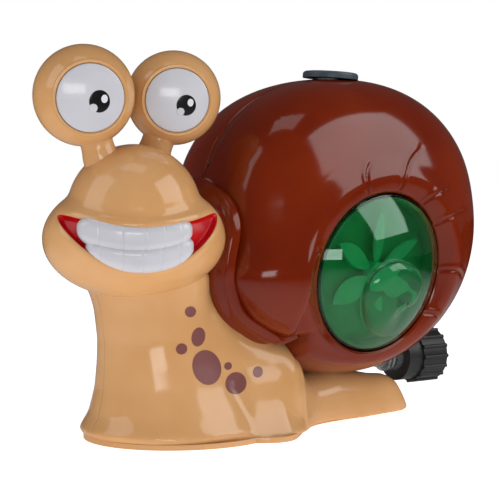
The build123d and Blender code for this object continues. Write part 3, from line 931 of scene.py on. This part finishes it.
def makeEye(side):
    size = eyes[side]
    radius = size["radius"]
    wide = radius * eyeShape["discShare"]
    gaze = Matrix.Rotation(math.radians(size["gaze"]), 4, "Z")
    drop = math.radians(eyeShape["drop"])
    ahead = axes((0, 0, 0), (0, -math.cos(drop), -math.sin(drop)))
    look = headPlace @ Matrix.Translation(size["at"]) @ gaze @ ahead
    rimAngle = math.degrees(math.acos((wide + eyeShape["rim"]) / radius))
    rimHeight = math.sqrt(radius ** 2 - (wide + eyeShape["rim"]) ** 2)
    outline = [(0, -radius)] + arcPoints((0, 0), radius, -88, rimAngle - 1, 60)
    rimCentre = (wide + eyeShape["rim"], rimHeight - eyeShape["rim"] * 0.9)
    outline += arcPoints(rimCentre, eyeShape["rim"], 60, 180, 8)
    outline += [(wide, rimHeight - 3.5), (wide - 1, rimHeight - 6), (0, rimHeight - 6)]
    bm = bmesh.new()
    turnedProfile(bm, outline, look, 128)
    ball = toObject(bm, side + "EyeBall", tan)
    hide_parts(side + "_eye_ball")
    face = wide - 0.12
    outline = [(face * t / 24, discHeight(size, face * t / 24)) for t in range(24)]
    edge = discHeight(size, face)
    outline += [(face, edge), (face, edge - 2), (0, edge - 2)]
    bm = bmesh.new()
    turnedProfile(bm, outline, look, 128)
    disc = toObject(bm, side + "EyeWhite", white)
    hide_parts(side + "_eye_white")
    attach(ball, "toy")
    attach(disc, "toy")
    # name, place and radius, material, how much taller than wide, how far above the white
    prints = (("Pupil", size["pupil"], pupilInk, 1.05, 0.10),
              ("Glint", size["glint"], glintInk, 1.25, 0.2), ("Notch", size["notch"], white, 1.0, 0.2))
    for name, (u, w, r), ink, tall, lift in prints:
        def point(a, v):
            turn = a * 2 * math.pi
            x, y = u + r * v * math.cos(turn), w + r * tall * v * math.sin(turn)
            return look @ Vector((x, y, discHeight(size, math.hypot(x, y)) + lift * min((1 - v) * 12, 1)))
        bm = bmesh.new()
        gridSheet(bm, 48, 12, lambda a, v: point(a, max(v, 0.0001)), wrap=True)
        dot = toObject(bm, side + "Eye" + name, ink)
        if dot.data.polygons[0].normal.dot(look.to_3x3().col[2]) < 0:
            dot.data.flip_normals()
        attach(dot, "toy")
    start = Vector((size["root"], size["at"][1] * eyeShape["rootShare"], eyeShape["rootZ"]))
    centre = Vector(size["at"])
    along = (centre - start).normalized()
    length = (centre - start).length - radius + 6
    bm = bmesh.new()
    rings = []
    for i in range(25):
        t = i / 24
        flare = 0.8 * smoothStep(0.7, 0.3, t) + 1.4 * smoothStep(0.75, 1.0, t)
        place = headPlace @ axes(start + along * length * t, along, (0, 1, 0))
        rings.append(ringAt(bm, place, eyeShape["stalk"] + flare, eyeShape["stalk"] + flare, 64))
    joinRings(bm, rings)
    stalk = toObject(bm, side + "EyeStalk", tan)
    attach(stalk, "toy")
    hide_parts(side + "_eye_stalk")


makeEye("right")
makeEye("left")
print("eyes made")


# ---- printed spots on the snail's left flank ----

spots = {"from": (0.82, -0.572, 0.03), "lift": 0.12,
         # middle, half width, half height, lean
         "list": [((33, -56, 75.6), 3.1, 3.1, 0), ((33.4, -51, 61), 3.8, 5.4, -8),
                  ((33, -62, 55), 3.1, 3.1, 0), ((36, -47, 43.7), 7.7, 10.0, 22),
                  ((31, -29, 43), 2.2, 2.2, 0), ((32.4, -24.5, 33), 6.0, 6.2, 20),
                  ((35, -11, 38.5), 2.9, 3.1, 0)]}


def placeToMetres(place):
    result = place.copy()
    result.translation = place.translation * mm
    return result


def makeSpots():
    # each spot starts flat beside the body and is laid on it by projection
    outward = Vector(spots["from"]).normalized()
    for number, (middle, wide, tall, lean) in enumerate(spots["list"], 1):
        place = axes(Vector(middle) + outward * 60, outward) @ Matrix.Rotation(math.radians(lean), 4, "Z")

        def point(u, v):
            turn, share = u * 2 * math.pi, max(v, 0.0001)
            return place @ Vector((wide * share * math.cos(turn), tall * share * math.sin(turn), 0))

        bm = bmesh.new()
        gridSheet(bm, 48, 10, point, wrap=True)
        spot = toObject(bm, "spot" + str(number), spotInk)
        if spot.data.polygons[0].normal.dot(outward) < 0:
            spot.data.flip_normals()
        lay = spot.modifiers.new("lay", "SHRINKWRAP")
        lay.target = bodyHalves[0]
        lay.wrap_method = "PROJECT"
        lay.use_project_z = True
        lay.use_negative_direction = True
        lay.use_positive_direction = False
        spot.matrix_world = placeToMetres(place)
        spot.data.transform(spot.matrix_world.inverted())
        bpy.context.view_layer.update()
        lay.offset = spots["lift"] * mm
        applied(spot)
        spot.data.transform(spot.matrix_world)
        spot.matrix_world = Matrix.Identity(4)
        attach(spot, "toy")


makeSpots()
print("spots made")


# ---- stage, light and camera ----

stage = {"floorHalf": 3.0, "azimuth": 55, "elevation": 4, "distance": 1.075,
         "target": (0, 0.008, 0.106), "lens": 129.6,
         # strength of the room for diffuse light and in reflections, and of the floor's own light
         "room": 0.34, "mirrored": 0.06, "floorGlow": 0.75,
         # name, azimuth, elevation, distance, width, height, power
         "lights": (("keyBox", -14, 34, 1.3, 0.8, 0.9, 3.0), ("sideBox", 130, 33, 1.4, 1.1, 0.9, 7.5),
                    ("topBox", 40, 80, 1.3, 0.7, 0.4, 1), ("lowBox", 60, 4, 2.2, 0.9, 0.4, 5))}


def towards(azimuth, elevation):
    a, e = math.radians(azimuth), math.radians(elevation)
    return Vector((math.sin(a) * math.cos(e), -math.cos(a) * math.cos(e), math.sin(e)))


def makeStage():
    material, tree, shader = newMaterial("paleFloor", {"Base Color": toLinear("F4F4F4"), "Roughness": 0.7,
                                                     "Emission Color": (1, 1, 1, 1)})
    mirrored = addNode(tree, "ShaderNodeLightPath").outputs["Is Glossy Ray"]
    glow = addNode(tree, "ShaderNodeMapRange", {"To Min": stage["floorGlow"], "To Max": 0.0},
                   {"Value": mirrored})
    tree.links.new(glow.outputs["Result"], shader.inputs["Emission Strength"])
    # reflections see the floor only near the toy, so no horizon shows in the plastic
    where = addNode(tree, "ShaderNodeTexCoord").outputs["Object"]
    away = addNode(tree, "ShaderNodeVectorMath", {}, {0: where}, operation="LENGTH")
    far = addNode(tree, "ShaderNodeMapRange", {"From Min": 0.12, "From Max": 0.7},
                  {"Value": away.outputs["Value"]})
    hidden = addNode(tree, "ShaderNodeMath", {}, {0: mirrored, 1: far.outputs["Result"]},
                     operation="MULTIPLY")
    shade = addNode(tree, "ShaderNodeBsdfDiffuse", {"Color": (0.02, 0.02, 0.02, 1)})
    both = addNode(tree, "ShaderNodeMixShader", {},
                   {0: hidden.outputs[0], 1: shader.outputs[0], 2: shade.outputs[0]})
    tree.links.new(both.outputs[0], tree.nodes["Material Output"].inputs["Surface"])
    bm = bmesh.new()
    bmesh.ops.create_grid(bm, x_segments=1, y_segments=1, size=stage["floorHalf"] / mm)
    floor = toObject(bm, "floor", material)
    world = bpy.data.worlds.new("studio")
    world.use_nodes = True
    tree = world.node_tree
    room = tree.nodes["Background"]
    room.inputs["Color"].default_value = (1, 1, 1, 1)
    room.inputs["Strength"].default_value = stage["room"]
    seen = addNode(tree, "ShaderNodeLightPath")
    # a dark studio in the reflections, a white sweep behind the toy
    dark = addNode(tree, "ShaderNodeBackground", {"Color": (1, 1, 1, 1), "Strength": stage["mirrored"]})
    sweep = addNode(tree, "ShaderNodeBackground", {"Color": (1, 1, 1, 1), "Strength": 1.0})
    gloss = addNode(tree, "ShaderNodeMixShader", {},
                    {0: seen.outputs["Is Glossy Ray"], 1: room.outputs[0], 2: dark.outputs[0]})
    both = addNode(tree, "ShaderNodeMixShader", {},
                   {0: seen.outputs["Is Camera Ray"], 1: gloss.outputs[0], 2: sweep.outputs[0]})
    tree.links.new(both.outputs[0], tree.nodes["World Output"].inputs["Surface"])
    scene.world = world
    for name, azimuth, elevation, distance, wide, tall, power in stage["lights"]:
        data = bpy.data.lights.new(name, "AREA")
        data.shape = "RECTANGLE"
        data.size, data.size_y, data.energy = wide, tall, power
        light = bpy.data.objects.new(name, data)
        away = towards(azimuth, elevation)
        light.matrix_world = axes(Vector((0, 0, 0.11)) + away * distance, away)
        scene.collection.objects.link(light)


def makeCamera():
    data = bpy.data.cameras.new("camera")
    data.lens = stage["lens"]
    camera = bpy.data.objects.new("camera", data)
    away = towards(stage["azimuth"], stage["elevation"])
    camera.matrix_world = axes(Vector(stage["target"]) + away * stage["distance"], away)
    scene.collection.objects.link(camera)
    scene.camera = camera


makeStage()
makeCamera()
scene.view_settings.view_transform = "Standard"
